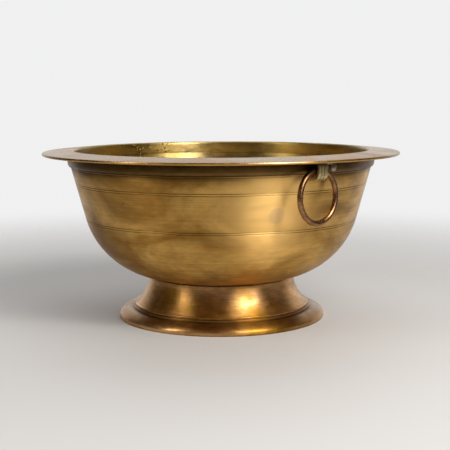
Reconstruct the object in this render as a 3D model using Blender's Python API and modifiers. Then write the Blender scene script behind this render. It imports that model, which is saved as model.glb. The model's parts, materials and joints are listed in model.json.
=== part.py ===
"""A footed brass urli: a wide turned bowl with a drooping flange, brazed to a hollow cast foot. Two cast
lugs are soldered under the flange, on the X axis, and a free ring handle hangs in each.
The origin is the centre of the foot's base, and +Z is the axis that the bowl was turned on."""

from math import atan, cos, degrees, hypot, pi, radians, sin, sqrt

import bmesh
import bpy
from mathutils import Matrix, Vector

# Bowl
MOUTH_RADIUS = 0.1320  # clear radius inside the lip
FLANGE_WIDTH = 0.0280  # from the mouth to the flange's outer edge
FLANGE_DROOP = 0.0020  # how far the flange's edge lies below the lip
FLANGE_EDGE = 0.0024  # thickness at the outer edge
FLANGE_ROOT = 0.0034  # thickness where it leaves the collar
LIP_ROUND = 0.0040  # rounding of the mouth into the flange
WALL = 0.0031  # thickness of the turned wall
BOWL_HEIGHT = 0.1140  # from the foot joint to the top of the lip
COLLAR_HEIGHT = 0.0110  # thickened band under the flange
COLLAR_PROUD = 0.0027  # how far the band swells out of the wall
COLLAR_FULLNESS = 0.6  # 1 is half an ellipse in section, and less is fuller
WALL_SLOPE = 0.270  # outward lean of the upper wall, radius over height
BELLY_RADIUS = 0.0735  # arc that turns the wall in to the foot

# Foot
FOOT_HEIGHT = 0.0380  # from the table to the outer edge of the foot joint
NECK_RADIUS = 0.0655  # outside of the foot where it meets the bowl
SWEEP_RADIUS = 0.0380  # hollow curve of the foot
SWEEP_START = 5.0  # lean of the foot at its neck, degrees from upright
SWEEP_END = 48.0  # lean at the first turned step
STEP_WIDTH = 0.0016  # ledge of each of the two turned steps
STEP_DROP = 0.0020
SHOULDER_WIDTH = 0.0125  # from the lower step to the widest edge
SHOULDER_SLACK = 1.3  # 1 is a quarter of an ellipse in section, and more is straighter
BAND_HEIGHT = 0.0050  # plain band at the base, widest at half its height
BAND_BULGE = 0.0004
FOOT_WALL = 0.0032
BASE_LAND = 0.0080  # width of the flat ring that the foot stands on

# Lugs and ring handles
WIRE_RADIUS = 0.00235
RING_RADIUS = 0.0213  # to the middle of the wire
RING_STANDOFF = 0.0019  # between the collar and the wire in the lug
RING_DROP = 0.0074  # from the flange's underside to the middle of the wire
RING_SWIVEL = {"right": 10.6, "left": 0.0}  # how each loose ring lies, degrees about Z
LUG_WIDTH = 0.0084
LUG_BAND = 0.0026  # thickness of the lug in front of the ring
LUG_SEAT = 0.0055  # thickness of the lug under the ring
LUG_ROOF = 0.0016  # thickness of the lug over the ring
LUG_EDGE = 0.0007  # rounding of the lug's edges
LUG_TOP_ROUND = 0.0032  # outer corner under the flange
LUG_SEAT_ROUND = 0.0072  # outer corner under the ring
EYE_ROUND = 0.0020  # corners of the eye
BLOB_REACH = 0.0200  # from the lug's middle to the blob that ends its run of solder
BLOB_RADIUS = 0.0038
BLOB_SINK = 0.00095  # how far the blob's middle lies inside the collar's widest point
BLOB_RISE = 0.0046  # from the collar's lower edge to the blob's middle
RUN_DROP = 0.0022  # from the flange's underside to the middle of the run
RUN_THICKNESS = 0.0024  # half of the run's height
RUN_OVERLAP = 0.0032  # how far the run reaches into the blob
SOLDER_PROUD = 0.0016
BRAZE_FILLET = 0.0034

# Clearances
JOINT_GAP = 0.0003  # between pieces that are brazed or soldered together
EYE_CLEARANCE = 0.0016  # between the wire and the front of the eye
SEAT_CLEARANCE = 0.0009  # between the wire and the seat that it hangs on
ROOF_CLEARANCE = 0.0009  # between the lug and the flange over it

TURN_STEPS = 56
BELLY_POINTS = 9
COLLAR_POINTS = 7
SWEEP_POINTS = 8
SHOULDER_POINTS = 5
LIP_POINTS = 4
EDGE_POINTS = 5
CORNER_POINTS = 5
LUMP_SEGMENTS = 14
LUMP_RINGS = 8
WIRE_SIDES = 10
RING_SIDES = 44
MERGE = 0.00001  # points nearer than this are one point

BRASS = ((0.60, 0.40, 0.15), 0.36)
DARK_BRASS = ((0.50, 0.32, 0.12), 0.38)
RING_BRASS = ((0.58, 0.34, 0.16), 0.30)
LUG_BRASS = ((0.50, 0.38, 0.16), 0.42)
SOLDER = ((0.52, 0.48, 0.40), 0.45)
BRAZE = ((0.40, 0.27, 0.12), 0.50)

TOTAL_HEIGHT = FOOT_HEIGHT + BOWL_HEIGHT
FLANGE_RADIUS = MOUTH_RADIUS + FLANGE_WIDTH
FLANGE_UNDERSIDE = TOTAL_HEIGHT - FLANGE_ROOT
COLLAR_BASE = FLANGE_UNDERSIDE - COLLAR_HEIGHT
WALL_TOP_RADIUS = MOUTH_RADIUS + WALL
COLLAR_RADIUS = WALL_TOP_RADIUS + COLLAR_PROUD
HINGE_RADIUS = COLLAR_RADIUS + RING_STANDOFF + WIRE_RADIUS
HINGE_HEIGHT = FLANGE_UNDERSIDE - RING_DROP
EYE_FRONT = HINGE_RADIUS + WIRE_RADIUS + EYE_CLEARANCE


def clear_scene():
    for old in list(bpy.data.objects):
        bpy.data.objects.remove(old, do_unlink=True)


def new_collection(name):
    made = bpy.data.collections.new(name)
    bpy.context.scene.collection.children.link(made)
    return made


def finish(obj, look):
    """One metal of its own for the piece: its colour, its roughness and full metallic."""
    colour, roughness = look
    made = bpy.data.materials.new(obj.name)
    made.use_nodes = True
    shader = made.node_tree.nodes["Principled BSDF"]
    shader.inputs["Base Color"].default_value = (*colour, 1.0)
    shader.inputs["Metallic"].default_value = 1.0
    shader.inputs["Roughness"].default_value = roughness
    obj.data.materials.append(made)


def arc(centre, radius, start, end, points):
    """Points on an arc in the profile's plane, from one angle to the other in degrees."""
    angles = [radians(start + (end - start) * i / (points - 1)) for i in range(points)]
    return [(centre[0] + radius * cos(a), centre[1] + radius * sin(a)) for a in angles]


def turned(name, profile, group, closed=False):
    """A profile in the XZ plane turned about Z. It runs down its outer side, top to bottom."""
    mesh = bpy.data.meshes.new(name)
    shape = bmesh.new()
    corners = [shape.verts.new((radius, 0.0, height)) for radius, height in profile]
    pairs = list(zip(corners, corners[1:]))
    if closed:
        pairs.append((corners[-1], corners[0]))
    for pair in pairs:
        shape.edges.new(pair)
    shape.to_mesh(mesh)
    shape.free()
    obj = bpy.data.objects.new(name, mesh)
    group.objects.link(obj)
    screw = obj.modifiers.new("turn", "SCREW")
    screw.steps = TURN_STEPS
    screw.render_steps = TURN_STEPS
    screw.use_merge_vertices = True
    screw.merge_threshold = MERGE
    screw.use_smooth_shade = True
    return obj


def belly():
    """Centre of the belly's arc and the angle where it leaves the sloping wall. The outer arc passes
    through the foot joint and runs into the wall without a corner."""
    slant = hypot(1.0, WALL_SLOPE)
    wall_x, wall_z = WALL_SLOPE / slant, 1.0 / slant
    joint_x, joint_z = NECK_RADIUS - WALL_TOP_RADIUS, FOOT_HEIGHT - COLLAR_BASE
    down = joint_x * wall_x + joint_z * wall_z
    across = joint_z * wall_x - joint_x * wall_z
    reach = down + sqrt(2 * BELLY_RADIUS * across - across**2)
    radius = WALL_TOP_RADIUS + reach * wall_x - BELLY_RADIUS * wall_z
    height = COLLAR_BASE + reach * wall_z + BELLY_RADIUS * wall_x
    return (radius, height), -degrees(atan(WALL_SLOPE))


def underside_height(radius):
    """Height of the bowl's underside at this distance from the axis."""
    centre, _ = belly()
    return centre[1] - sqrt(BELLY_RADIUS**2 - max(radius - centre[0], 0.0) ** 2)


def flange_underside(radius):
    """Height of the flange's underside, which falls in a straight line from the collar to the edge."""
    edge = TOTAL_HEIGHT - FLANGE_DROOP - FLANGE_EDGE
    share = (radius - WALL_TOP_RADIUS) / (FLANGE_RADIUS - FLANGE_EDGE / 2 - WALL_TOP_RADIUS)
    return FLANGE_UNDERSIDE + share * (edge - FLANGE_UNDERSIDE)


def collar(grow=0.0):
    """The band under the flange, from the flange down to the wall: a full, rounded swelling."""
    middle = COLLAR_BASE + COLLAR_HEIGHT / 2
    points = []
    for i in range(COLLAR_POINTS + 1):
        turn = pi / 2 - pi * i / COLLAR_POINTS
        radius = WALL_TOP_RADIUS + grow + COLLAR_PROUD * max(cos(turn), 0.0) ** COLLAR_FULLNESS
        points.append((radius, middle + COLLAR_HEIGHT / 2 * sin(turn)))
    return points


def bowl_profile():
    centre, wall_angle = belly()
    inside = arc(centre, BELLY_RADIUS - WALL, -90.0, wall_angle, BELLY_POINTS)
    outside = arc(centre, BELLY_RADIUS, wall_angle, -90.0, BELLY_POINTS)
    lip_centre = (MOUTH_RADIUS + LIP_ROUND, TOTAL_HEIGHT - LIP_ROUND)
    lip = arc(lip_centre, LIP_ROUND, 180.0, 90.0, LIP_POINTS)
    round_edge = FLANGE_EDGE / 2
    edge_centre = (FLANGE_RADIUS - round_edge, TOTAL_HEIGHT - FLANGE_DROOP - round_edge)
    edge = arc(edge_centre, round_edge, 90.0, -90.0, EDGE_POINTS)
    floor = (0.0, inside[0][1])
    mouth = (MOUTH_RADIUS, COLLAR_BASE)
    bottom = (0.0, outside[-1][1])
    return [floor, *inside, mouth, *lip, *edge, *collar(), *outside, bottom]


def sweep(inset=0.0):
    """The foot's hollow curve from the neck down. A positive inset gives the inner side of its wall."""
    start, end = 180.0 + SWEEP_START, 180.0 + SWEEP_END
    lean = radians(SWEEP_START)
    centre = (NECK_RADIUS + SWEEP_RADIUS * cos(lean), FOOT_HEIGHT + SWEEP_RADIUS * sin(lean))
    return arc(centre, SWEEP_RADIUS + inset, start, end, SWEEP_POINTS)


def foot_profile():
    outside = sweep()[1:]
    inside = sweep(FOOT_WALL)[:0:-1]
    neck_top = (NECK_RADIUS, underside_height(NECK_RADIUS) - JOINT_GAP)
    neck_inside = NECK_RADIUS - FOOT_WALL
    inner_top = (neck_inside, underside_height(neck_inside) - JOINT_GAP)
    ledge_radius, ledge_height = outside[-1]
    steps = []
    for _ in range(2):
        ledge_radius += STEP_WIDTH
        steps.append((ledge_radius, ledge_height))
        ledge_height -= STEP_DROP
        steps.append((ledge_radius, ledge_height))
    fall = ledge_height - BAND_HEIGHT / 2
    shoulder = []
    for i in range(1, SHOULDER_POINTS + 1):
        turn = pi / 2 * i / SHOULDER_POINTS
        across = max(sin(turn), 0.0) ** SHOULDER_SLACK
        down = 1.0 - max(cos(turn), 0.0) ** SHOULDER_SLACK
        shoulder.append((ledge_radius + SHOULDER_WIDTH * across, ledge_height - fall * down))
    heel = ledge_radius + SHOULDER_WIDTH - BAND_BULGE
    land = heel - BASE_LAND
    return [neck_top, *outside, *steps, *shoulder, (heel, 0.0), (land, 0.0), *inside, inner_top]


def braze_profile():
    """A fillet of filler in the corner between the bowl's underside and the inside of the foot."""
    outer = NECK_RADIUS - FOOT_WALL - JOINT_GAP
    inner = outer - BRAZE_FILLET
    middle = (outer + inner) / 2
    top_outer = underside_height(outer) - JOINT_GAP
    top_inner = underside_height(inner) - JOINT_GAP
    return [(outer, top_outer), (outer, top_outer - BRAZE_FILLET), (middle, top_outer - BRAZE_FILLET / 2),
            (inner, top_inner - JOINT_GAP), (inner, top_inner)]


def side_frame(side):
    """Turns a piece made for the +X side to the side where it sits."""
    return Matrix.Rotation(0.0 if side == "right" else pi, 4, "Z")


def collar_radius(height):
    """Outside of the collar at this height."""
    middle = COLLAR_BASE + COLLAR_HEIGHT / 2
    share = (height - middle) / (COLLAR_HEIGHT / 2)
    return WALL_TOP_RADIUS + COLLAR_PROUD * max(1.0 - share**2, 0.0) ** (COLLAR_FULLNESS / 2)


def lug_outline():
    """The lug from its side: a C whose open back is fitted to the collar. Distance from the axis, height."""
    roof = FLANGE_UNDERSIDE - ROOF_CLEARANCE
    eye_top = roof - LUG_ROOF
    eye_base = HINGE_HEIGHT - WIRE_RADIUS - SEAT_CLEARANCE
    seat = eye_base - LUG_SEAT
    front = EYE_FRONT + LUG_BAND
    wall_at_seat = WALL_TOP_RADIUS - WALL_SLOPE * (COLLAR_BASE - seat)
    top_centre = (front - LUG_TOP_ROUND, roof - LUG_TOP_ROUND)
    seat_centre = (front - LUG_SEAT_ROUND, seat + LUG_SEAT_ROUND)
    top_corner = arc(top_centre, LUG_TOP_ROUND, 90.0, 0.0, CORNER_POINTS)
    seat_corner = arc(seat_centre, LUG_SEAT_ROUND, 0.0, -90.0, CORNER_POINTS)
    eye_lower = arc((EYE_FRONT - EYE_ROUND, eye_base + EYE_ROUND), EYE_ROUND, -90.0, 0.0, CORNER_POINTS)
    eye_upper = arc((EYE_FRONT - EYE_ROUND, eye_top - EYE_ROUND), EYE_ROUND, 0.0, 90.0, CORNER_POINTS)
    under_collar = (WALL_TOP_RADIUS + JOINT_GAP, COLLAR_BASE - JOINT_GAP)
    back = [(wall_at_seat + JOINT_GAP, seat), under_collar]
    back_of_eye = [(collar_radius(height) + JOINT_GAP, height) for height in (eye_base, eye_top)]
    back_top = (collar_radius(roof) + JOINT_GAP, roof)
    eye = [back_of_eye[0], *eye_lower, *eye_upper, back_of_eye[1]]
    return [back_top, *top_corner, *seat_corner, *back, *eye]


def lug(side, group):
    name = side + "_lug"
    curve = bpy.data.curves.new(name, "CURVE")
    curve.dimensions = "2D"
    curve.fill_mode = "BOTH"
    curve.extrude = LUG_WIDTH / 2
    outline = lug_outline()
    spline = curve.splines.new("POLY")
    spline.points.add(len(outline) - 1)
    for point, (radius, height) in zip(spline.points, outline):
        point.co = (radius, height, 0.0, 1.0)
    spline.use_cyclic_u = True
    obj = bpy.data.objects.new(name, curve)
    group.objects.link(obj)
    obj.matrix_world = side_frame(side) @ Matrix.Rotation(pi / 2, 4, "X")
    weld = obj.modifiers.new("close caps", "WELD")
    weld.merge_threshold = MERGE
    bevel = obj.modifiers.new("edges", "BEVEL")
    bevel.width = LUG_EDGE
    bevel.segments = 1
    bevel.limit_method = "ANGLE"
    bevel.angle_limit = radians(60.0)
    finish(obj, LUG_BRASS)


def moved_to(group):
    """Takes the primitive that was just added out of its collection and into this one."""
    obj = bpy.context.object
    for old in obj.users_collection:
        old.objects.unlink(obj)
    group.objects.link(obj)
    return obj


def ellipsoid(name, centre, sizes, turn, group):
    """A smooth lump, turned about Z so that its first size lies along the collar's radius."""
    bpy.ops.mesh.primitive_uv_sphere_add(segments=LUMP_SEGMENTS, ring_count=LUMP_RINGS, radius=1.0)
    obj = moved_to(group)
    obj.name = name
    obj.data.transform(Matrix.Diagonal((*sizes, 1.0)))
    obj.matrix_world = Matrix.Translation(centre) @ Matrix.Rotation(turn, 4, "Z")
    return obj


def on_collar(reach, radius, height):
    """A point this far round the collar from the middle of the +X lug, and the angle that it lies at."""
    angle = reach / COLLAR_RADIUS
    return Vector((radius * cos(angle), radius * sin(angle), height)), angle


def cut(obj, name, cutter, operation="DIFFERENCE"):
    boolean = obj.modifiers.new(name, "BOOLEAN")
    boolean.operation = operation
    boolean.object = cutter
    cutter.hide_render = True
    cutter.display_type = "WIRE"


def lug_space(side, cutters):
    """A block that holds the +X lug with a joint's gap each side of it."""
    bpy.ops.mesh.primitive_cube_add(size=1.0)
    block = moved_to(cutters)
    block.name = side + "_lug_space"
    tall = 2 * (COLLAR_HEIGHT + LUG_SEAT)
    sizes = (tall, LUG_WIDTH + 2 * JOINT_GAP, tall)
    block.data.transform(Matrix.Diagonal((*sizes, 1.0)))
    block.matrix_world = Matrix.Translation((HINGE_RADIUS, 0.0, HINGE_HEIGHT))
    return block


def solder(side, group, cutters, bowl_space):
    """A run of solder in the corner under the flange, from the lug's side to a blob on the collar."""
    run_end = BLOB_REACH - BLOB_RADIUS + RUN_OVERLAP
    run_middle = (run_end + LUG_WIDTH / 2) / 2
    run_half_length = run_end - run_middle
    blob_centre, blob_turn = on_collar(BLOB_REACH, COLLAR_RADIUS - BLOB_SINK, COLLAR_BASE + BLOB_RISE)
    run_radius = WALL_TOP_RADIUS + COLLAR_PROUD / 2
    run_centre, run_turn = on_collar(run_middle, run_radius, FLANGE_UNDERSIDE - RUN_DROP)
    blob_sizes = (SOLDER_PROUD + BLOB_SINK, BLOB_RADIUS, BLOB_RADIUS)
    run_sizes = (COLLAR_PROUD, run_half_length + LUG_WIDTH / 2, RUN_THICKNESS)
    obj = ellipsoid(side + "_lug_solder", blob_centre, blob_sizes, blob_turn, group)
    run = ellipsoid(side + "_solder_run", run_centre, run_sizes, run_turn, cutters)
    block = lug_space(side, cutters)
    for piece in (obj, run, block):
        piece.matrix_world = side_frame(side) @ piece.matrix_world
    cut(obj, "join the run", run, "UNION")
    cut(obj, "fit to the bowl", bowl_space)
    cut(obj, "clear the lug", block)
    finish(obj, SOLDER)


def ring_handle(side, group):
    """The ring, hanging from the middle of its own wire. Its parent empty is on the joint's axis."""
    hinge = bpy.data.objects.new(side + "_hinge", None)
    group.objects.link(hinge)
    swivel = Matrix.Rotation(radians(RING_SWIVEL[side]), 4, "Z")
    hinge.matrix_world = side_frame(side) @ Matrix.Translation((HINGE_RADIUS, 0.0, HINGE_HEIGHT)) @ swivel
    bpy.ops.mesh.primitive_torus_add(
        major_radius=RING_RADIUS,
        minor_radius=WIRE_RADIUS,
        major_segments=RING_SIDES,
        minor_segments=WIRE_SIDES,
    )
    obj = moved_to(group)
    obj.name = side + "_ring_handle"
    obj.data.transform(Matrix.Translation((0.0, 0.0, -RING_RADIUS)) @ Matrix.Rotation(pi / 2, 4, "Y"))
    obj.data.shade_smooth()
    obj.parent = hinge
    finish(obj, RING_BRASS)


def bowl_space_profile():
    """The bowl's outside with a joint's gap round it, from the flange down, for cutting what fits to it."""
    under_edge = flange_underside(FLANGE_RADIUS) - JOINT_GAP
    flange = [(0.0, TOTAL_HEIGHT), (FLANGE_RADIUS, TOTAL_HEIGHT), (FLANGE_RADIUS, under_edge)]
    band = collar(JOINT_GAP)[1:]
    corner = (band[0][0], flange_underside(band[0][0]) - JOINT_GAP)
    return [*flange, corner, *band, (WALL_TOP_RADIUS, FOOT_HEIGHT), (0.0, FOOT_HEIGHT)]


def main():
    clear_scene()
    urli = new_collection("urli")
    cutters = new_collection("cutters")
    bowl = turned("bowl", bowl_profile(), urli)
    finish(bowl, BRASS)
    foot = turned("foot", foot_profile(), urli, closed=True)
    finish(foot, DARK_BRASS)
    braze = turned("foot_braze", braze_profile(), urli, closed=True)
    finish(braze, BRAZE)
    bowl_space = turned("bowl_space", bowl_space_profile(), cutters)
    for side in ("right", "left"):
        lug(side, urli)
        solder(side, urli, cutters, bowl_space)
        ring_handle(side, urli)


main()
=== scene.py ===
# %% [markdown]
# # A footed brass urli
# An urli is a wide South Asian bowl for water and flowers. This one is cast in brass in two parts, a bowl
# and a hollow foot, and both are turned on a lathe. Two small lugs are soldered under the flange, and a wire
# ring hangs in each. The frame below already holds every piece at its right place and size, but plainly.
# In this lesson each piece gets its fine shape and its worn, satin metal.

# %% Load the fixed frame
import json
from math import atan, cos, degrees, pi, radians, sin, sqrt

import bmesh
import bpy
from mathutils import Matrix, Vector


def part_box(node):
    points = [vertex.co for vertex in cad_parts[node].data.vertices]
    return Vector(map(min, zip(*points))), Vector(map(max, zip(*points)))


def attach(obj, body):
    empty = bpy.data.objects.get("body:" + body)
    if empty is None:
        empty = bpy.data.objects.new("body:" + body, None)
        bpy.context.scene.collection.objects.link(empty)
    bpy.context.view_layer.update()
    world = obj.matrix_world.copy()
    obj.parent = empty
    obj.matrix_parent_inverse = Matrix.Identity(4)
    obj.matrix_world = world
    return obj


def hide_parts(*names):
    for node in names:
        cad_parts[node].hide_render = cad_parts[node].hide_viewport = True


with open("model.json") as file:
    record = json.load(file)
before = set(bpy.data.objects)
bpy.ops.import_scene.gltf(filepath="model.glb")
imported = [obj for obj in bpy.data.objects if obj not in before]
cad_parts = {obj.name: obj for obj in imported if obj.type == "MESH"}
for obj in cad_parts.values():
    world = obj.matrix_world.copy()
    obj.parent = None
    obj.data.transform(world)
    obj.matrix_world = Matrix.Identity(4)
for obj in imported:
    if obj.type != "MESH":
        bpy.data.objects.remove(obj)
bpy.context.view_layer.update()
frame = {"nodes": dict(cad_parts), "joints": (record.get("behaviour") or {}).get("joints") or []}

print("the frame holds", ", ".join(sorted(frame["nodes"])))

# %% [markdown]
# ## Working by hand, in code
# Every operator acts on what is selected, and a freshly loaded frame is all selected. So each piece starts
# with everything deselected, and points are picked by their place, never by number.

# %% Small helpers for selecting and finishing
SAME_POINT = 1e-6  # points nearer than this are merged
HAIR = 1e-5  # how near a point has to be to count as picked


def deselect_all():
    if bpy.context.mode != "OBJECT":
        bpy.ops.object.mode_set(mode="OBJECT")
    bpy.ops.object.select_all(action="DESELECT")


def edit_selection(choose):
    """In edit mode, selects exactly the points for which choose(place) is true."""
    mesh = bmesh.from_edit_mesh(bpy.context.object.data)
    bpy.ops.mesh.select_all(action="DESELECT")
    for point in mesh.verts:
        point.select = bool(choose(point.co))
    mesh.select_flush_mode()
    mesh.select_flush(True)
    bmesh.update_edit_mesh(bpy.context.object.data)


def apply_modifiers(obj):
    for modifier in list(obj.modifiers):
        bpy.ops.object.modifier_apply(modifier=modifier.name)


print(f"points within {SAME_POINT * 1e6:.0f} micrometre of each other are merged")


def settle(name, smooth_angle=38.0):
    """Leaves edit mode, puts the piece's place into its mesh, and shades it smooth below this angle."""
    if bpy.context.mode != "OBJECT":
        bpy.ops.object.mode_set(mode="OBJECT")
    bpy.ops.object.transform_apply(location=True, rotation=True, scale=True)
    bpy.ops.object.shade_smooth_by_angle(angle=radians(smooth_angle))
    obj = bpy.context.object
    obj.name = name
    obj.data.name = name
    low = [min(point.co[i] for point in obj.data.vertices) * 1000 for i in range(3)]
    high = [max(point.co[i] for point in obj.data.vertices) * 1000 for i in range(3)]
    size = " x ".join(f"{b - a:.1f}" for a, b in zip(low, high))
    print(f"{name}: {len(obj.data.polygons)} faces, {size} mm")
    return obj


# %% [markdown]
# ## Turning a shape
# A lathe makes a shape from one line: the tool's path past the spinning metal. Blender's Spin does the same.
# The line is drawn by extruding a single point from place to place, and is then spun all the way round. The
# first and last copies meet, so doubles are merged, and the normals are turned outwards afterwards.

# %% Draw a line and spin it
TURN_STEPS = 240


def arc(centre, radius, start, end, points):
    """Points on an arc from one angle to the other, in degrees, as distances from the axis and heights."""
    angles = [radians(start + (end - start) * i / (points - 1)) for i in range(points)]
    return [(centre[0] + radius * cos(a), centre[1] + radius * sin(a)) for a in angles]


def near(place, point):
    return abs(place.x - point[0]) < HAIR and abs(place.z - point[1]) < HAIR


def draw_line(points, closed=False):
    """Draws a line of (distance from the axis, height) in edit mode by extruding one point onwards."""
    deselect_all()
    bpy.ops.mesh.primitive_plane_add(size=0.001)
    bpy.ops.object.mode_set(mode="EDIT")
    bpy.ops.mesh.select_all(action="SELECT")
    bpy.ops.mesh.merge(type="CENTER")
    first = points[0]
    bpy.ops.transform.translate(value=(first[0], 0.0, first[1]))
    for before, after in zip(points, points[1:]):
        move = (after[0] - before[0], 0.0, after[1] - before[1])
        bpy.ops.mesh.extrude_region_move(TRANSFORM_OT_translate={"value": move})
    if closed:
        last = points[-1]
        edit_selection(lambda place: near(place, first) or near(place, last))
        bpy.ops.mesh.edge_face_add()


def turn(name, points, closed=False, steps=TURN_STEPS):
    draw_line(points, closed)
    bpy.ops.mesh.select_all(action="SELECT")
    bpy.ops.mesh.spin(steps=steps, angle=2 * pi, center=(0.0, 0.0, 0.0), axis=(0.0, 0.0, 1.0))
    bpy.ops.mesh.select_all(action="SELECT")
    bpy.ops.mesh.remove_doubles(threshold=SAME_POINT)
    bpy.ops.mesh.normals_make_consistent(inside=False)
    return settle(name)


print("a full turn takes", TURN_STEPS, "steps")


# %% [markdown]
# ## The bowl
# The bowl is one casting. Its wall leans out in a straight line from a round belly, swells into a collar,
# and spreads into a flange that droops a little. The turner left a fine bead under the collar, two pairs of
# cut lines round the wall, and fainter marks low down and inside. Modelled as real grooves, they catch the
# light by themselves. A groove is a small bell-shaped dent in the line that is spun.

# %% Sizes of the bowl, from the frame
bowl_low, bowl_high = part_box("bowl")
rim_radius = bowl_high.x
rim_height = bowl_high.z
underside = bowl_low.z

mouth_radius = rim_radius - 0.0280
flange_droop = 0.0020
flange_edge = 0.0024
flange_root = 0.0034
lip_round = 0.0022
inside_the_box = 0.000002
wall = 0.0031
collar_height = 0.0110
collar_proud = 0.0027
collar_fullness = 0.6
wall_lean = 0.270
belly_radius = 0.0735

under_flange = rim_height - flange_root
collar_base = under_flange - collar_height
wall_top_radius = mouth_radius + wall
slant = sqrt(1.0 + wall_lean**2)
belly_height = underside + belly_radius
print(f"the wall is {wall * 1000:.1f} mm thick, and its collar starts at {collar_base * 1000:.1f} mm")


def leaning_radius(height):
    """Distance from the axis of the straight part of the wall, outside, at this height."""
    return wall_top_radius - wall_lean * (collar_base - height)


belly_centre = (leaning_radius(belly_height) - belly_radius * slant, belly_height)
wall_angle = -degrees(atan(wall_lean))


def wall_radius(height, thickness=0.0):
    """Distance from the axis of the wall's outside, or of its inside when given the wall's thickness."""
    round_part = belly_radius - thickness
    start = belly_height + round_part * sin(radians(wall_angle))
    if height >= start:
        return leaning_radius(height) - thickness * slant
    return belly_centre[0] + sqrt(max(round_part**2 - (belly_height - height) ** 2, 0.0))


# %% Lines cut on the lathe
# Each mark is a height, how far it stands out or goes in, and half its width, all in metres.
UNDER_COLLAR = [(collar_base - 0.0006, 0.00045, 0.0006), (collar_base - 0.0016, -0.00025, 0.0004)]
UPPER_PAIR = [(0.1232, -0.00030, 0.00034), (0.1214, -0.00026, 0.00034)]
LOWER_PAIR = [(0.0912, -0.00030, 0.00034), (0.0894, -0.00026, 0.00034)]
LOW_MARKS = [(0.0560, -0.00010, 0.0005), (0.0534, -0.00014, 0.0006), (0.0508, -0.00010, 0.0005)]
INNER_MARKS = [(0.1410, -0.00014, 0.0007), (0.1352, -0.00010, 0.0006), (0.1290, -0.00016, 0.0007)]
OUTER_MARKS = UNDER_COLLAR + UPPER_PAIR + LOWER_PAIR + LOW_MARKS
BELL_POINTS = (-1.0, -0.5, 0.0, 0.5, 1.0)


def dent(height, marks):
    """How far all the marks together move the surface at this height."""
    total = 0.0
    for middle, depth, half_width in marks:
        share = (height - middle) / half_width
        if abs(share) < 1.0:
            total += depth * (1.0 + cos(pi * share)) / 2.0
    return total


def marked_heights(heights, marks):
    """The heights with five more at each mark, from the top down."""
    extra = [middle + half * share for middle, _, half in marks for share in BELL_POINTS]
    low, high = min(heights), max(heights)
    extra = [height for height in extra if low < height < high]
    plain = [h for h in heights if all(abs(h - e) > SAME_POINT * 100 for e in extra)]
    return sorted(plain + extra, reverse=True)


def belly_heights(thickness, points=34):
    """Heights down the round belly, closer together where it turns under."""
    lowest = -90.0 + 2.0
    return [z for _, z in arc(belly_centre, belly_radius - thickness, wall_angle, lowest, points)]


print("the wall carries", len(OUTER_MARKS), "marks outside and", len(INNER_MARKS), "inside")

# %% The bowl's line
def collar_line(points=20):
    middle = collar_base + collar_height / 2
    line = []
    for i in range(points + 1):
        turned = pi / 2 - pi * i / points
        swell = collar_proud * max(cos(turned), 0.0) ** collar_fullness
        line.append((wall_top_radius + swell, middle + collar_height / 2 * sin(turned)))
    return line


def bowl_line():
    outer_heights = marked_heights([collar_base - 0.00001, *belly_heights(0.0)], OUTER_MARKS)
    outside = [(wall_radius(z) + dent(z, OUTER_MARKS), z) for z in outer_heights]
    inner_plain = [rim_height - lip_round * 2, collar_base, *belly_heights(wall)]
    inner_heights = marked_heights(inner_plain, INNER_MARKS)
    inside = []
    for z in reversed(inner_heights):
        plain = min(wall_radius(z, wall), mouth_radius)
        inside.append((plain - dent(z, INNER_MARKS), z))
    lip = arc((mouth_radius + lip_round, rim_height - lip_round), lip_round, 180.0, 90.0, 9)
    rounding = flange_edge / 2
    # Spinning rounds off in the last digits, so the edge is drawn a hair inside the frame's box.
    edge_centre = (rim_radius - inside_the_box - rounding, rim_height - flange_droop - rounding)
    edge = arc(edge_centre, rounding, 90.0, -90.0, 11)
    floor = (0.0, underside + wall)
    under = (0.0, underside)
    return [floor, *inside, *lip, *edge, *collar_line(), *outside, under]


bowl = turn("turned_bowl", bowl_line())
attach(bowl, "body")
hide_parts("bowl")

# %% [markdown]
# ## The foot
# The foot is a second casting, hollow underneath. It sweeps out from a narrow neck, drops over two small
# turned steps with rounded noses, and swells to a shoulder above a plain band. A hair's gap is left under
# the bowl, because the real joint shows as a thin dark line.

# %% Turn the foot
foot_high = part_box("foot")[1]
neck_radius = 0.0655
sweep_radius = 0.0380
sweep_start = 5.0
sweep_end = 48.0
foot_height = 0.0380
step_width = 0.0016
step_drop = 0.0020
step_nose = 0.0006
step_undercut = 0.0003
band_height = 0.0030
shoulder_slack = 1.2
heel_round = 0.0004
foot_wall = 0.0032
base_land = 0.0080
joint_gap = 0.0003
neck_set_in = 0.0003


def under_bowl(radius):
    """Height of the bowl's underside at this distance from the axis."""
    return belly_height - sqrt(belly_radius**2 - max(radius - belly_centre[0], 0.0) ** 2)


def sweep_line(inset, points):
    lean = radians(sweep_start)
    centre = (neck_radius + sweep_radius * cos(lean), foot_height + sweep_radius * sin(lean))
    return arc(centre, sweep_radius + inset, 180.0 + sweep_start, 180.0 + sweep_end, points)


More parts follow.
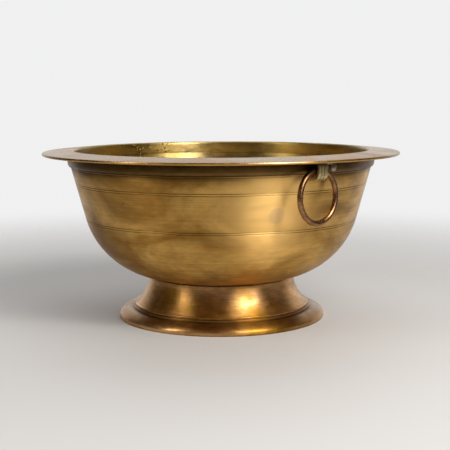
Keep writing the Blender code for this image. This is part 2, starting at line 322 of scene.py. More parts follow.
def foot_line():
    outside = sweep_line(0.0, 36)[1:]
    inside = sweep_line(foot_wall, 14)[:0:-1]
    radius, height = outside[-1]
    steps = []
    for _ in range(2):
        radius += step_width
        steps += arc((radius - step_nose, height - step_nose), step_nose, 90.0, 0.0, 5)
        height -= step_drop
        steps.append((radius - step_undercut, height + step_undercut))
        steps.append((radius - step_undercut, height))
    widest = foot_high.x
    shoulder_width = widest - radius
    fall = height - band_height
    shoulder = []
    for i in range(13):
        turned = pi / 2 * i / 12
        across = max(sin(turned), 0.0) ** shoulder_slack
        down = 1.0 - max(cos(turned), 0.0) ** shoulder_slack
        shoulder.append((radius + shoulder_width * across, height - fall * down))
    heel = arc((widest - heel_round, heel_round), heel_round, 0.0, -90.0, 4)
    land = (widest - base_land, 0.0)
    neck_inside = neck_radius - foot_wall
    top = (neck_radius - neck_set_in, under_bowl(neck_radius) - joint_gap)
    inner_top = (neck_inside, under_bowl(neck_inside) - joint_gap)
    return [top, *outside, *steps, *shoulder, *heel, land, *inside, inner_top]


foot = turn("turned_foot", foot_line(), closed=True)
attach(foot, "body")
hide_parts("foot")

# %% [markdown]
# ## The filler inside the foot
# Molten filler was run into the corner inside the foot to hold it to the bowl. It froze as an uneven fillet,
# so after the turning a Displace modifier, driven by a soft cloud pattern, makes its surface lumpy.

# %% Turn the fillet and make it uneven
fillet = 0.0034
fillet_lumps = 0.0003
outer = neck_radius - foot_wall - joint_gap
inner = outer - fillet
fillet_line = [
    (outer, under_bowl(outer) - joint_gap),
    (outer, under_bowl(outer) - fillet),
    ((outer + inner) / 2 - fillet / 8, under_bowl(outer) - fillet * 0.55),
    (inner, under_bowl(inner) - joint_gap * 2),
    (inner, under_bowl(inner) - joint_gap),
]


def clouds(name, size):
    pattern = bpy.data.textures.new(name, "CLOUDS")
    pattern.noise_scale = size
    pattern.noise_depth = 2
    return pattern


def roughen(obj, pattern, strength):
    """Moves the surface in and out by half this strength, following the pattern, and applies it."""
    displace = obj.modifiers.new("uneven", "DISPLACE")
    displace.texture = pattern
    displace.texture_coords = "GLOBAL"
    displace.strength = strength
    displace.mid_level = 0.5
    apply_modifiers(obj)


braze = turn("lumpy_foot_braze", fillet_line, closed=True)
roughen(braze, clouds("frozen filler", 0.006), fillet_lumps)
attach(braze, "body")
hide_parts("foot_braze")

# %% [markdown]
# ## The lugs
# Seen from its side, a lug is a C that closes against the collar, with the ring through its eye. Its face is
# reeded: three rounded ribs follow it from the flange down and back to the wall. The side outline is
# extruded across the lug in thin slices. Then each slice's outer face is pulled in by an amount that follows
# the ribs, with Shrink/Fatten, which moves points along their normals.
#
# This lug has a known fault, so don't copy it as it is. The slices are pulled in one after another. By the
# last one, its neighbour has moved, so its normals lean and its points slide outwards, past the place where
# the cap looks for them. That end of the lug stays open, and its cap covers the eye. Pulling in the two end
# slices first should cure it. Count the open edges of a piece like this before you trust it.

# %% Draw and extrude the lug
lug_band = 0.0026
lug_seat = 0.0055
lug_roof = 0.0016
lug_low, lug_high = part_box("right_lug")
lug_width = lug_high.y - lug_low.y
eye_front = lug_high.x - lug_band
eye_base = lug_low.z + lug_seat
eye_top = lug_high.z - lug_roof
LUG_SLICES = 36
RIBS = 3
rib_depth = 0.00075
top_round = 0.0034
seat_round = 0.0072
eye_round = 0.0020


def collar_radius(height):
    middle = collar_base + collar_height / 2
    share = (height - middle) / (collar_height / 2)
    return wall_top_radius + collar_proud * max(1.0 - share**2, 0.0) ** (collar_fullness / 2)


def lug_line():
    """The lug's outline from its side, starting where its top meets the collar."""
    front, top, seat = lug_high.x, lug_high.z, lug_low.z
    top_corner = arc((front - top_round, top - top_round), top_round, 90.0, 0.0, 9)
    seat_corner = arc((front - seat_round, seat + seat_round), seat_round, 0.0, -90.0, 14)
    back = [(leaning_radius(seat) + joint_gap, seat), (leaning_radius(collar_base) + joint_gap, collar_base)]
    back.append((collar_radius(eye_base) + joint_gap, eye_base))
    lower = arc((eye_front - eye_round, eye_base + eye_round), eye_round, -90.0, 0.0, 7)
    upper = arc((eye_front - eye_round, eye_top - eye_round), eye_round, 0.0, 90.0, 7)
    above_eye = (collar_radius(eye_top) + joint_gap, eye_top)
    start = (collar_radius(top) + joint_gap, top)
    return [start, *top_corner, *seat_corner, *back, *lower, *upper, above_eye]


def on_the_face(place):
    """True on the outer, ribbed face, and false in the eye and against the collar."""
    in_eye = place.x < eye_front + HAIR and eye_base - HAIR < place.z < eye_top + HAIR
    at_back = place.x < collar_radius(max(place.z, collar_base)) + 4 * joint_gap
    return not in_eye and not at_back


def rib_inset(across):
    """How far the face is pulled in at this distance from the lug's middle. The ribs are half circles."""
    width = lug_width / RIBS
    offset = (across / width + 0.5) % 1.0 - 0.5
    return rib_depth * (1.0 - sqrt(max(1.0 - (2 * offset) ** 2, 0.0)))


def make_lug(side):
    draw_line(lug_line(), closed=True)
    bpy.ops.mesh.select_all(action="SELECT")
    bpy.ops.transform.translate(value=(0.0, -lug_width / 2, 0.0))
    slice_width = lug_width / LUG_SLICES
    for _ in range(LUG_SLICES):
        bpy.ops.mesh.extrude_region_move(TRANSFORM_OT_translate={"value": (0.0, slice_width, 0.0)})
    bpy.ops.mesh.select_all(action="SELECT")
    bpy.ops.mesh.normals_make_consistent(inside=False)
    for i in range(LUG_SLICES + 1):
        across = -lug_width / 2 + i * slice_width
        edit_selection(lambda place: abs(place.y - across) < HAIR and on_the_face(place))
        bpy.ops.transform.shrink_fatten(value=-rib_inset(across * 0.999))
    for end in (-lug_width / 2, lug_width / 2):
        edit_selection(lambda place: abs(place.y - end) < HAIR)
        bpy.ops.mesh.edge_face_add()
    bpy.ops.mesh.select_all(action="SELECT")
    bpy.ops.mesh.normals_make_consistent(inside=False)
    bpy.ops.object.mode_set(mode="OBJECT")
    obj = bpy.context.object
    bevel = obj.modifiers.new("soft edges", "BEVEL")
    bevel.width = 0.0003
    bevel.segments = 2
    bevel.limit_method = "ANGLE"
    bevel.angle_limit = radians(55.0)
    apply_modifiers(obj)
    if side == "left":
        turn_half(obj)
    piece = settle(side + "_reeded_lug")
    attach(piece, "body")
    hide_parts(side + "_lug")
    return piece


def turn_half(obj):
    """Turns a piece made for the +X side half a turn round the bowl, to the -X side."""
    obj.data.transform(Matrix.Rotation(pi, 4, "Z"))


lugs = [make_lug(side) for side in ("right", "left")]

# %% [markdown]
# ## The ring handles
# A ring is one length of brass wire bent round and closed. A circle, drawn upright at the top of the ring,
# is spun round the ring's own centre. Its place and its tilt come from the joint that it swings on. A ring
# bent by hand is never quite true, so a broad, weak Displace follows.

# %% Spin the rings
wire_radius = 0.00235
RING_STEPS = 160
WIRE_POINTS = 36
ring_unevenness = 0.00022


def make_ring(joint):
    side = joint["name"].split("_")[0]
    low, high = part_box(side + "_ring_handle")
    hinge = Vector(joint["pos_m"])
    swing_axis = Vector(joint["axis"])
    ring_radius = (high.z - low.z) / 2 - wire_radius
    middle = hinge - Vector((0.0, 0.0, ring_radius))
    through = swing_axis.cross(Vector((0.0, 0.0, 1.0)))
    upright = swing_axis.to_track_quat("Z", "Y").to_euler()
    deselect_all()
    bpy.ops.mesh.primitive_circle_add(
        vertices=WIRE_POINTS, radius=wire_radius, location=hinge, rotation=upright
    )
    bpy.ops.object.transform_apply(location=True, rotation=True, scale=True)
    bpy.ops.object.mode_set(mode="EDIT")
    bpy.ops.mesh.select_all(action="SELECT")
    bpy.ops.mesh.spin(steps=RING_STEPS, angle=2 * pi, center=middle, axis=through)
    bpy.ops.mesh.select_all(action="SELECT")
    bpy.ops.mesh.remove_doubles(threshold=SAME_POINT)
    bpy.ops.mesh.normals_make_consistent(inside=False)
    bpy.ops.object.mode_set(mode="OBJECT")
    roughen(bpy.context.object, clouds(side + " bends", 0.012), ring_unevenness)
    piece = settle(side + "_wire_ring")
    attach(piece, joint["child"])
    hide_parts(side + "_ring_handle")
    return piece


rings = [make_ring(joint) for joint in frame["joints"]]

# %% [markdown]
# ## The solder
# The lug is held by solder that ran along the corner under the flange and ended in a round blob. Frozen
# metal has no flat faces, so two round lumps are remeshed into one skin and smoothed where they meet. Their
# backs are not trimmed: they sink into the collar, out of sight.

# %% Run the solder
SOLDER_VOXEL = 0.00032
blob_radius = 0.0038
blob_proud = 0.0026
blob_reach = 0.0200
blob_sink = 0.0010
blob_rise = 0.0046
run_depth = 0.0030
run_height = 0.0022
run_drop = 0.0020


def on_collar(reach, radius, height):
    """A place this far round the collar from the middle of the +X lug, and the angle it lies at."""
    angle = reach / (wall_top_radius + collar_proud)
    return Vector((radius * cos(angle), radius * sin(angle), height)), angle


def add_lump(reach, radius, height, sizes):
    place, angle = on_collar(reach, radius, height)
    bpy.ops.mesh.primitive_uv_sphere_add(segments=32, ring_count=20, radius=1.0)
    bpy.ops.transform.resize(value=sizes)
    bpy.context.object.rotation_euler.z = angle
    bpy.context.object.location = place
    bpy.ops.object.transform_apply(location=True, rotation=True, scale=True)
    return bpy.context.object


def make_solder(side):
    deselect_all()
    collar_face = wall_top_radius + collar_proud
    run_end = blob_reach - blob_radius * 0.2
    run_middle = (run_end + lug_width / 2) / 2
    run_sizes = (run_depth, run_end - run_middle + lug_width / 4, run_height)
    blob_sizes = (blob_proud, blob_radius, blob_radius)
    run = add_lump(run_middle, wall_top_radius + collar_proud / 2, under_flange - run_drop, run_sizes)
    blob = add_lump(blob_reach, collar_face - blob_sink, collar_base + blob_rise, blob_sizes)
    run.select_set(True)
    bpy.ops.object.join()
    remesh = blob.modifiers.new("one skin", "REMESH")
    remesh.mode = "VOXEL"
    remesh.voxel_size = SOLDER_VOXEL
    relax = blob.modifiers.new("flow together", "SMOOTH")
    relax.factor = 0.5
    relax.iterations = 12
    apply_modifiers(blob)
    roughen(blob, clouds(side + " frozen solder", 0.0035), 0.0005)
    if side == "left":
        turn_half(blob)
    piece = settle(side + "_solder_run", smooth_angle=80.0)
    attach(piece, "body")
    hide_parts(side + "_lug_solder")
    return piece


solders = [make_solder(side) for side in ("right", "left")]

# %% [markdown]
# ## Old brass
# Old brass isn't one colour. Where hands and cloths reach it, it stays golden. Elsewhere a brown skin grows
# in soft blotches, stretched along the turning. Dirt stays in the cut lines, and small pits in the casting
# go dark. Each of these effects is a node group with named sockets, so that every piece can use it with its
# own values.

# %% Build nodes with few words
def node(tree, kind, inputs=None, **settings):
    """Adds a node. An input may be a number, a colour or another node's output, which is then linked."""
    made = tree.nodes.new(kind)
    for key, value in settings.items():
        setattr(made, key, value)
    for key, value in (inputs or {}).items():
        if isinstance(value, bpy.types.NodeSocket):
            tree.links.new(value, made.inputs[key])
        else:
            made.inputs[key].default_value = value
    return made


def maths(tree, operation, *values, clamp=False):
    made = node(tree, "ShaderNodeMath", dict(enumerate(values)), operation=operation, use_clamp=clamp)
    return made.outputs[0]


def blend_colours(tree, share, first, second, kind="MIX"):
    made = node(tree, "ShaderNodeMix", {0: share, 6: first, 7: second}, data_type="RGBA", blend_type=kind)
    return made.outputs[2]


def remap(tree, value, low, high, to_low=0.0, to_high=1.0):
    inputs = {"Value": value, "From Min": low, "From Max": high, "To Min": to_low, "To Max": to_high}
    made = node(tree, "ShaderNodeMapRange", inputs, interpolation_type="SMOOTHSTEP")
    return made.outputs["Result"]


def new_group(name, inputs, outputs):
    """A shader node group. Inputs are (name, default value), and a vector's default is a triple."""
    tree = bpy.data.node_groups.new(name, "ShaderNodeTree")
    for title, value in inputs:
        kind = "NodeSocketVector" if isinstance(value, tuple) else "NodeSocketFloat"
        socket = tree.interface.new_socket(title, in_out="INPUT", socket_type=kind)
        socket.default_value = value
    for title in outputs:
        tree.interface.new_socket(title, in_out="OUTPUT", socket_type="NodeSocketFloat")
    start = tree.nodes.new("NodeGroupInput").outputs
    return tree, start, tree.nodes.new("NodeGroupOutput").inputs


def use(tree, group, **inputs):
    """Places a node group. A keyword's underscores stand for the spaces in a socket's name."""
    made = tree.nodes.new("ShaderNodeGroup")
    made.node_tree = group
    for key, value in inputs.items():
        socket = made.inputs[key.replace("_", " ")]
        if isinstance(value, bpy.types.NodeSocket):
            tree.links.new(value, socket)
        else:
            socket.default_value = value
    return made.outputs


print("six short helpers build every material")

# %% Group: where a point lies on a turned piece
ORIGIN = (0.0, 0.0, 0.0)


def turned_place_group():
    """The point's distance from the axis and its height, which stay the same all the way round."""
    tree, start, end = new_group("place on a turned piece", [("Place", ORIGIN)], ["Distance", "Height"])
    split = node(tree, "ShaderNodeSeparateXYZ", {0: start["Place"]}).outputs
    squares = maths(tree, "MULTIPLY_ADD", split[0], split[0], maths(tree, "MULTIPLY", split[1], split[1]))
    tree.links.new(maths(tree, "SQRT", squares), end["Distance"])
    tree.links.new(split[2], end["Height"])
    return tree


TURNED_PLACE = turned_place_group()
print(TURNED_PLACE.name, "takes", len(TURNED_PLACE.nodes), "nodes")

# %% Group: fine marks of the lathe tool
def lathe_marks_group():
    inputs = [("Place", ORIGIN), ("Spacing", 0.001), ("Waver", 0.0002)]
    tree, start, end = new_group("lathe marks", inputs, ["Marks"])
    place = use(tree, TURNED_PLACE, Place=start["Place"])
    drift = node(tree, "ShaderNodeTexNoise", {"Vector": start["Place"], "Scale": 14.0, "Detail": 2.0})
    sway = maths(tree, "MULTIPLY", drift.outputs[0], start["Waver"])
    height = maths(tree, "ADD", place["Height"], sway)
    ringed = node(tree, "ShaderNodeCombineXYZ", {0: place["Distance"], 2: height}).outputs[0]
    pitch = maths(tree, "DIVIDE", 1.0, start["Spacing"])
    inputs = {"Vector": ringed, "Scale": pitch, "Detail": 3.0, "Roughness": 0.6}
    fine = node(tree, "ShaderNodeTexNoise", inputs)
    tree.links.new(fine.outputs[0], end["Marks"])
    return tree


LATHE_MARKS = lathe_marks_group()
print(LATHE_MARKS.name, "takes", len(LATHE_MARKS.nodes), "nodes")

# %% Group: soft brown patina
def patina_group():
    inputs = [("Place", ORIGIN), ("Size", 0.05), ("Cover", 0.5), ("Softness", 0.15)]
    tree, start, end = new_group("patina", inputs, ["Patina", "Mottling"])
    inputs = {"Vector": start["Place"], "Scale": (1.0, 1.0, 2.2)}
    squashed = node(tree, "ShaderNodeMapping", inputs).outputs[0]
    scale = maths(tree, "DIVIDE", 1.0, start["Size"])
    broad = node(
        tree,
        "ShaderNodeTexNoise",
        {"Vector": squashed, "Scale": scale, "Detail": 5.0, "Roughness": 0.58, "Distortion": 0.6},
    ).outputs[0]
    edge = maths(tree, "SUBTRACT", 0.78, maths(tree, "MULTIPLY", start["Cover"], 0.56))
    low = maths(tree, "SUBTRACT", edge, start["Softness"])
    high = maths(tree, "ADD", edge, start["Softness"])
    tree.links.new(remap(tree, broad, low, high), end["Patina"])
    finer = maths(tree, "MULTIPLY", scale, 7.0)
    mottling = node(
        tree, "ShaderNodeTexNoise", {"Vector": squashed, "Scale": finer, "Detail": 4.0, "Roughness": 0.65}
    ).outputs[0]
    tree.links.new(remap(tree, mottling, 0.30, 0.70), end["Mottling"])
    return tree


PATINA = patina_group()
print(PATINA.name, "takes", len(PATINA.nodes), "nodes")

# %% Group: casting pits
def pits_group():
    inputs = [("Place", ORIGIN), ("Spacing", 0.01), ("Size", 0.0006), ("Share", 0.3)]
    tree, start, end = new_group("casting pits", inputs, ["Pits"])
    scale = maths(tree, "DIVIDE", 1.0, start["Spacing"])
    cells = node(tree, "ShaderNodeTexVoronoi", {"Vector": start["Place"], "Scale": scale})
    reach = maths(tree, "MULTIPLY", cells.outputs["Distance"], start["Spacing"])
    tint = node(tree, "ShaderNodeSeparateColor", {0: cells.outputs["Color"]}).outputs
    size = maths(tree, "MULTIPLY", start["Size"], maths(tree, "MULTIPLY_ADD", tint[1], 1.3, 0.35))
    hole = remap(tree, reach, size, maths(tree, "MULTIPLY", size, 0.35))
    chosen = maths(tree, "LESS_THAN", tint[0], start["Share"])
    tree.links.new(maths(tree, "MULTIPLY", hole, chosen), end["Pits"])
    return tree


PITS = pits_group()
print(PITS.name, "takes", len(PITS.nodes), "nodes")

# %% Groups: a band at one height, and a round spot
def band_group():
    inputs = [("Place", ORIGIN), ("Height", 0.1), ("Half width", 0.001)]
    tree, start, end = new_group("band at a height", inputs, ["Band"])
    height = use(tree, TURNED_PLACE, Place=start["Place"])["Height"]
    away = maths(tree, "ABSOLUTE", maths(tree, "SUBTRACT", height, start["Height"]))
    tree.links.new(remap(tree, away, start["Half width"], 0.0), end["Band"])
    return tree


def spot_group():
    inputs = [("Place", ORIGIN), ("Middle", ORIGIN), ("Radius", 0.01), ("Softness", 0.002)]
    tree, start, end = new_group("round spot", inputs, ["Spot"])
    inputs = {0: start["Place"], 1: start["Middle"]}
    away = node(tree, "ShaderNodeVectorMath", inputs, operation="DISTANCE").outputs["Value"]
    outside = maths(tree, "ADD", start["Radius"], start["Softness"])
    tree.links.new(remap(tree, away, outside, start["Radius"]), end["Spot"])
    return tree


BAND = band_group()
SPOT = spot_group()
print(BAND.name, "and", SPOT.name, "place a mark where it is wanted")

# %% [markdown]
# ## One recipe, several metals
# Every piece follows the same recipe: clean metal, browned by patina, mottled, darkened in its lines and
# pits, with a roughness that rises where the metal is dull. The Principled shader stays in each material.

# %% The recipe
ACROSS_THE_TURNING = 0.25


def strongest(tree, masks):
    total = masks[0]
    for mask in masks[1:]:
        total = maths(tree, "MAXIMUM", total, mask)
    return total


def grey(tree, value):
    return node(tree, "ShaderNodeCombineColor", {0: value, 1: value, 2: value}).outputs[0]


def aged_metal(name, clean, brown, dark, *, size, cover, softness, rough, rough_brown, marks, pits,
               lines=(), spots=(), bands=(), pitted=None, brushed=0.0, mark_spacing=0.0009):
    """A material of aged brass. Lines are (height, half width, strength), bands the same with a colour,
    spots are (middle, radius, softness, colour, strength) and a pitted patch is (middle, radius)."""
    made = bpy.data.materials.new(name)
    made.use_nodes = True
    tree = made.node_tree
    shader = tree.nodes["Principled BSDF"]
    place = tree.nodes.new("ShaderNodeTexCoord").outputs["Object"]
    patina = use(tree, PATINA, Place=place, Size=size, Cover=cover, Softness=softness)
    lathe = use(tree, LATHE_MARKS, Place=place, Spacing=mark_spacing)["Marks"]
    pit_size, pit_share = pits
    holes = use(tree, PITS, Place=place, Size=pit_size, Share=pit_share)["Pits"]
    if pitted:
        middle, radius = pitted
        half = radius / 2
        patch = use(tree, SPOT, Place=place, Middle=middle, Radius=half, Softness=half)["Spot"]
        crowd = use(tree, PITS, Place=place, Spacing=0.0030, Size=0.0011, Share=0.65)["Pits"]
        holes = maths(tree, "MAXIMUM", holes, maths(tree, "MULTIPLY", crowd, patch))
    colour = blend_colours(tree, patina["Patina"], (*clean, 1.0), (*brown, 1.0))
    shade = remap(tree, patina["Mottling"], 0.0, 1.0, 0.88, 1.08)
    colour = blend_colours(tree, 1.0, colour, grey(tree, shade), kind="MULTIPLY")
    stripes = remap(tree, lathe, 0.30, 0.70, 0.83, 1.08)
    colour = blend_colours(tree, 1.0, colour, grey(tree, stripes), kind="MULTIPLY")
    for height, half_width, tint, strength in bands:
        band = use(tree, BAND, Place=place, Height=height, Half_width=half_width)["Band"]
        colour = blend_colours(tree, maths(tree, "MULTIPLY", band, strength), colour, (*tint, 1.0))
    for middle, radius, soft, tint, strength in spots:
        spot = use(tree, SPOT, Place=place, Middle=middle, Radius=radius, Softness=soft)["Spot"]
        colour = blend_colours(tree, maths(tree, "MULTIPLY", spot, strength), colour, (*tint, 1.0))
    # Lines and pits darken towards the dark colour: dirt in cut lines and pits, painted shade in the lines
    # under the collar and the foot's steps.
    dirt_and_shade = [maths(tree, "MULTIPLY", holes, 0.85)]
    for height, half_width, strength in lines:
        band = use(tree, BAND, Place=place, Height=height, Half_width=half_width)["Band"]
        dirt_and_shade.append(maths(tree, "MULTIPLY", band, strength))
    dirt_and_shade = strongest(tree, dirt_and_shade)
    colour = blend_colours(tree, dirt_and_shade, colour, (*dark, 1.0))
    tree.links.new(colour, shader.inputs["Base Color"])
    shader.inputs["Metallic"].default_value = 1.0
    if brushed:
        shader.inputs["Anisotropic"].default_value = brushed
        shader.inputs["Anisotropic Rotation"].default_value = ACROSS_THE_TURNING
        around = node(tree, "ShaderNodeTangent", direction_type="RADIAL", axis="Z")
        tree.links.new(around.outputs[0], shader.inputs["Tangent"])
    dull = maths(tree, "MAXIMUM", patina["Patina"], dirt_and_shade)
    roughness = remap(tree, dull, 0.0, 1.0, rough, rough_brown)
    uneven = remap(tree, patina["Mottling"], 0.0, 1.0, -0.04, 0.05)
    tree.links.new(maths(tree, "ADD", roughness, uneven), shader.inputs["Roughness"])
    relief = maths(tree, "MULTIPLY", lathe, marks)
    relief = maths(tree, "SUBTRACT", relief, maths(tree, "MULTIPLY", holes, pit_size * 0.4))
    bump = node(tree, "ShaderNodeBump", {"Height": relief, "Distance": 1.0, "Strength": 1.0})
    tree.links.new(bump.outputs["Normal"], shader.inputs["Normal"])
    return made


print("the brushed grain is turned by", ACROSS_THE_TURNING, "of a full turn")


def dress(piece, *materials):
    piece.data.materials.clear()
    for material in materials:
        piece.data.materials.append(material)


# %% [markdown]
# ## Dressing the pieces
# The bowl has four finishes: a worn outside, a flange with a grey-brown skin, an inside that the cloth
# has kept golden, and a dark collar, partly brown patina and partly painted shade from the flange above.
# Its faces are picked by place, and each lot is given its own material slot.

# %% The colours of the brass
GOLD = (0.80, 0.49, 0.135)
# The paler gold of a painted highlight on the outside wall.
HIGHLIGHT_GOLD = (0.88, 0.57, 0.20)
BROWN = (0.36, 0.172, 0.030)
# The dark of dirt in lines and pits, also used for painted shade lines under the collar and under the foot's
# steps.
DIRT_AND_SHADE = (0.045, 0.024, 0.009)
# Dark brown of the collar's patina and of the painted shade under the collar.
PATINA_AND_SHADE_UMBER = (0.11, 0.055, 0.012)
RUST = (0.33, 0.125, 0.028)
INSIDE_GOLD = (0.66, 0.48, 0.19)
OLIVE = (0.23, 0.155, 0.030)
MAUVE = (0.42, 0.30, 0.185)
print("next to its red, clean brass reflects", round(GOLD[1] / GOLD[0], 2), "of the green")

# %% Metals of the bowl


def on_wall(angle, height):
    """A place on the outside of the wall, at this angle from +X in degrees."""
    turn_to = radians(angle)
    radius = wall_radius(height)
    return (radius * cos(turn_to), radius * sin(turn_to), height)


outer_dirt_and_shade = [(height, half_width * 1.5, 0.55) for height, _, half_width in UPPER_PAIR + LOWER_PAIR]
outer_dirt_and_shade += [(height, half_width * 1.2, 0.22) for height, _, half_width in LOW_MARKS]
# Painted shade in the fine groove just under the collar, and a darker band round the belly just above the
# foot.
outer_dirt_and_shade += [(collar_base - 0.0016, 0.0007, 0.35), (0.0385, 0.0035, 0.45)]
dull_spot = (on_wall(-12.2, 0.1045), 0.0062, 0.0012, (0.62, 0.40, 0.22), 0.45)
# The first band is painted shade on the wall just under the collar; the second is reddish tarnish low on the
# belly.
outer_bands = [(collar_base - 0.0005, 0.0060, PATINA_AND_SHADE_UMBER, 0.75), (0.0440, 0.0110, RUST, 0.50)]
# A painted highlight: a broad soft spot of paler gold on the wall where the window's highlight falls.
painted_highlight_spot = (on_wall(-14.0, 0.108), 0.012, 0.050, HIGHLIGHT_GOLD, 0.85)
outside_metal = aged_metal(
    "worn satin brass", GOLD, BROWN, DIRT_AND_SHADE, size=0.085, cover=0.56, softness=0.20, rough=0.42,
    rough_brown=0.50, marks=0.000022, pits=(0.0006, 0.16), lines=outer_dirt_and_shade, spots=[painted_highlight_spot, dull_spot],
    bands=outer_bands, brushed=0.85,
)
# Painted shade: the collar and the flange's underside get a darker copy of the brass, partly their brown
# patina and partly shade from the flange, with a painted shadow line along the collar's lower edge.
collar_patina_and_painted_shade = aged_metal(
    "collar patina and painted shade", (0.19, 0.11, 0.036), PATINA_AND_SHADE_UMBER, DIRT_AND_SHADE, size=0.05, cover=0.55, softness=0.22, rough=0.34,
    rough_brown=0.46, marks=0.000015, pits=(0.0005, 0.12), lines=[(collar_base, 0.0007, 0.8)], brushed=0.6,
)
flange_metal = aged_metal(
    "flange skin", MAUVE, BROWN, DIRT_AND_SHADE, size=0.06, cover=0.45, softness=0.22, rough=0.26,
    rough_brown=0.36, marks=0.000012, pits=(0.0005, 0.12), brushed=0.4,
)
inside_metal = aged_metal(
    "inner gold", INSIDE_GOLD, OLIVE, DIRT_AND_SHADE, size=0.08, cover=0.50, softness=0.32, rough=0.31,
    rough_brown=0.40, marks=0.000012, pits=(0.0008, 0.10),
    lines=[(height, half_width * 1.4, 0.35) for height, _, half_width in INNER_MARKS],
    pitted=((-0.131, 0.0, 0.140), 0.028), brushed=0.8,
)

print("four metals dress the bowl")


# %% Give each face of the bowl its metal
def on_flange(middle):
    distance = sqrt(middle.x**2 + middle.y**2)
    return distance > mouth_radius + lip_round * 0.6 and middle.z > under_flange + 0.0002


def on_inside(middle):
    distance = sqrt(middle.x**2 + middle.y**2)
    if middle.z > collar_base:
        return distance < mouth_radius + lip_round * 0.6
    return distance < wall_radius(middle.z) - wall * 0.6


def on_the_collar(middle):
    """True under the flange and on the collar, which get a dark metal: partly brown patina, partly painted
    shade from the flange above.
    """
    distance = sqrt(middle.x**2 + middle.y**2)
    return collar_base < middle.z <= under_flange + 0.0002 and mouth_radius < distance < rim_radius - 0.0020


def bowl_finish(middle):
    if on_flange(middle):
        return 1
    if on_inside(middle):
        return 2
    return 3 if on_the_collar(middle) else 0


def give_slots(piece, chooser):
    """Puts each face in the material slot that chooser(its middle) names, in edit mode."""
    deselect_all()
    bpy.context.view_layer.objects.active = piece
    piece.select_set(True)
    for slot_index in range(1, len(piece.data.materials)):
        bpy.ops.object.mode_set(mode="EDIT")
        bpy.ops.mesh.select_all(action="DESELECT")
        bpy.ops.mesh.select_mode(type="FACE")
        mesh = bmesh.from_edit_mesh(piece.data)
        for face in mesh.faces:
            face.select = chooser(face.calc_center_median()) == slot_index
        bmesh.update_edit_mesh(piece.data)
        piece.active_material_index = slot_index
        bpy.ops.object.material_slot_assign()
        bpy.ops.mesh.select_mode(type="VERT")
        bpy.ops.object.mode_set(mode="OBJECT")
    print(piece.name, "has", len(piece.data.materials), "finishes")


dress(bowl, outside_metal, flange_metal, inside_metal, collar_patina_and_painted_shade)
give_slots(bowl, bowl_finish)

# %% Metals of the foot and the fittings
# Dark lines on the foot: the dark joint under the bowl, painted shade under each step's nose, and a darker
# line round its bottom edge.
foot_dirt_and_shade = [(0.0378, 0.0014, 0.75), (0.0110, 0.0006, 0.6), (0.0091, 0.0006, 0.5), (0.0006, 0.0012, 0.5)]
foot_metal = aged_metal(
    "foot brass", (0.80, 0.460, 0.205), (0.34, 0.165, 0.018), DIRT_AND_SHADE, size=0.06, cover=0.50, softness=0.20,
    rough=0.32, rough_brown=0.40, marks=0.000016, pits=(0.0006, 0.15), lines=foot_dirt_and_shade,
    bands=[(0.0075, 0.0060, (0.22, 0.105, 0.020), 0.8)], brushed=0.8,
)
ring_metal = aged_metal(
    "ring brass", (0.50, 0.27, 0.12), (0.11, 0.048, 0.020), DIRT_AND_SHADE, size=0.03, cover=0.50, softness=0.34,
    rough=0.25, rough_brown=0.34, marks=0.0, pits=(0.0003, 0.10),
)
lug_metal = aged_metal(
    "lug brass", (0.62, 0.52, 0.27), (0.30, 0.23, 0.12), DIRT_AND_SHADE, size=0.008, cover=0.45, softness=0.22,
    rough=0.34, rough_brown=0.5, marks=0.0, pits=(0.0004, 0.25),
)
solder_metal = aged_metal(
    "solder", (0.52, 0.45, 0.36), (0.33, 0.26, 0.18), DIRT_AND_SHADE, size=0.006, cover=0.5, softness=0.25,
    rough=0.42, rough_brown=0.55, marks=0.0, pits=(0.0004, 0.3),
)
braze_metal = aged_metal(
    "braze", (0.50, 0.34, 0.16), (0.22, 0.14, 0.07), DIRT_AND_SHADE, size=0.010, cover=0.6, softness=0.25,
    rough=0.45, rough_brown=0.6, marks=0.0, pits=(0.0005, 0.3),
)
dress(foot, foot_metal)
dress(braze, braze_metal)
for piece in rings:
    dress(piece, ring_metal)
for piece in lugs:
    dress(piece, lug_metal)
for piece in solders:
    dress(piece, solder_metal)
print(len(bpy.data.materials), "materials in all")

# %% [markdown]
# ## The studio
# Metal shows what is round it, so the room matters as much as the lamps. The room is pale behind the bowl
# and dim behind the camera, and a broad window stands to the front right with a narrow one to the front
# left. The camera alone sees a plain pale surround: Light Path tells its rays from reflected ones. The floor
# fades into that surround far from the bowl, so that it has no edge.

# %% Directions round the bowl
camera_azimuth = 57.2
toward_camera = Vector((sin(radians(camera_azimuth)), -cos(radians(camera_azimuth)), 0.0))


def direction(right_of_camera, elevation):
    """A direction from the bowl, in degrees to the right of the camera's own and above the horizon."""
    turn_by = Matrix.Rotation(radians(right_of_camera), 3, "Z")
    flat = turn_by @ toward_camera
    lift = radians(elevation)
    return Vector((flat.x * cos(lift), flat.y * cos(lift), sin(lift)))


print("the camera stands", camera_azimuth, "degrees round from the front")

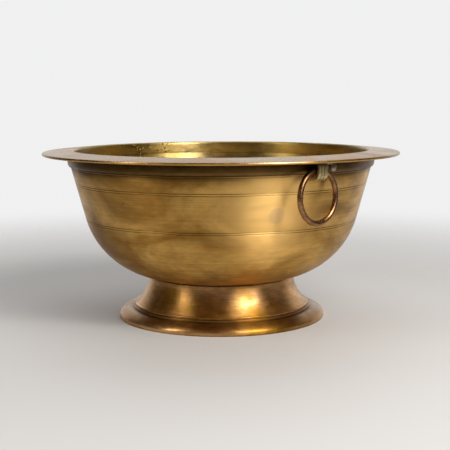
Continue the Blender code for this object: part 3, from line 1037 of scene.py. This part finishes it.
# %% The surround
def make_surround():
    world = bpy.data.worlds.new("soft room")
    bpy.context.scene.world = world
    world.use_nodes = True
    tree = world.node_tree
    tree.nodes.clear()
    sight = tree.nodes.new("ShaderNodeTexCoord").outputs["Generated"]
    inputs = {0: sight, 1: tuple(direction(172.0, 0.0))}
    behind = node(tree, "ShaderNodeVectorMath", inputs, operation="DOT_PRODUCT")
    pale = remap(tree, behind.outputs["Value"], 0.40, 0.92)
    up = node(tree, "ShaderNodeSeparateXYZ", {0: sight}).outputs[2]
    overhead = maths(tree, "MULTIPLY", remap(tree, up, 0.60, 0.98), 0.40)
    share = maths(tree, "MAXIMUM", pale, overhead)
    room = blend_colours(tree, share, (0.085, 0.075, 0.068, 1.0), (0.86, 0.85, 0.84, 1.0))
    lit = node(tree, "ShaderNodeBackground", {"Color": room, "Strength": 1.0})
    seen = node(tree, "ShaderNodeBackground", {"Color": (0.875, 0.875, 0.88, 1.0), "Strength": 1.0})
    ray = tree.nodes.new("ShaderNodeLightPath").outputs["Is Camera Ray"]
    both = node(tree, "ShaderNodeMixShader", {0: ray, 1: lit.outputs[0], 2: seen.outputs[0]})
    out = tree.nodes.new("ShaderNodeOutputWorld")
    tree.links.new(both.outputs[0], out.inputs["Surface"])


make_surround()
print("the room is pale behind the bowl and overhead")

# %% The floor
floor_radius = 4.0
floor_fade = (0.30, 0.90)


def make_floor():
    deselect_all()
    bpy.ops.mesh.primitive_circle_add(vertices=96, radius=floor_radius, fill_type="NGON")
    floor = bpy.context.object
    floor.name = "floor"
    made = bpy.data.materials.new("pale floor")
    made.use_nodes = True
    tree = made.node_tree
    shader = tree.nodes["Principled BSDF"]
    shader.inputs["Base Color"].default_value = (0.50, 0.495, 0.49, 1.0)
    shader.inputs["Roughness"].default_value = 0.7
    place = tree.nodes.new("ShaderNodeTexCoord").outputs["Object"]
    away = node(tree, "ShaderNodeVectorMath", {0: place}, operation="LENGTH").outputs["Value"]
    fade = remap(tree, away, *floor_fade)
    clear = tree.nodes.new("ShaderNodeBsdfTransparent")
    both = node(tree, "ShaderNodeMixShader", {0: fade, 1: shader.outputs[0], 2: clear.outputs[0]})
    tree.links.new(both.outputs[0], tree.nodes["Material Output"].inputs["Surface"])
    floor.data.materials.append(made)


make_floor()
print("the floor fades out from", floor_fade[0], "to", floor_fade[1], "m")

# %% The lamps
def softbox(name, right_of_camera, elevation, distance, width, height, power, warmth):
    lamp = bpy.data.lights.new(name, "AREA")
    lamp.shape = "RECTANGLE"
    lamp.size = width
    lamp.size_y = height
    lamp.energy = power
    lamp.color = warmth
    obj = bpy.data.objects.new(name, lamp)
    bpy.context.scene.collection.objects.link(obj)
    aim = direction(right_of_camera, elevation)
    obj.location = aim * distance
    obj.rotation_euler = aim.to_track_quat("Z", "Y").to_euler()
    print(f"{name}: {power:.0f} W, {width:.2f} x {height:.2f} m")


softbox("window", 40.0, 38.0, 1.5, 0.80, 0.95, 20.0, (1.0, 0.97, 0.93))
softbox("bright pane", 40.0, 40.0, 1.6, 0.20, 0.30, 7.0, (1.0, 0.96, 0.90))
softbox("ceiling", 178.0, 62.0, 1.7, 1.9, 1.3, 9.0, (1.0, 1.0, 1.0))
softbox("narrow window", -60.0, 36.0, 1.5, 0.30, 1.0, 6.0, (1.0, 0.98, 0.96))

# %% [markdown]
# ## The camera
# A long lens from nearly a metre away, a little above the rim and looking slightly down.

# %% Place the camera
camera_distance = 0.9108
camera_height = 0.2017
camera_pitch = 7.49
camera_yaw = -0.217
camera_roll = -0.2


def make_camera():
    lens = bpy.data.cameras.new("camera")
    lens.sensor_width = 36.0
    lens.lens = 80.3
    camera = bpy.data.objects.new("camera", lens)
    bpy.context.scene.collection.objects.link(camera)
    turn_to = Matrix.Rotation(radians(camera_azimuth + camera_yaw), 4, "Z")
    tip = Matrix.Rotation(radians(90.0 - camera_pitch), 4, "X")
    roll = Matrix.Rotation(radians(camera_roll), 4, "Z")
    place = toward_camera * camera_distance + Vector((0.0, 0.0, camera_height))
    camera.matrix_world = Matrix.Translation(place) @ turn_to @ tip @ roll
    bpy.context.scene.camera = camera


make_camera()
bpy.context.scene.view_settings.view_transform = "Standard"
print("the camera stands", camera_distance, "m away and", camera_height, "m up")
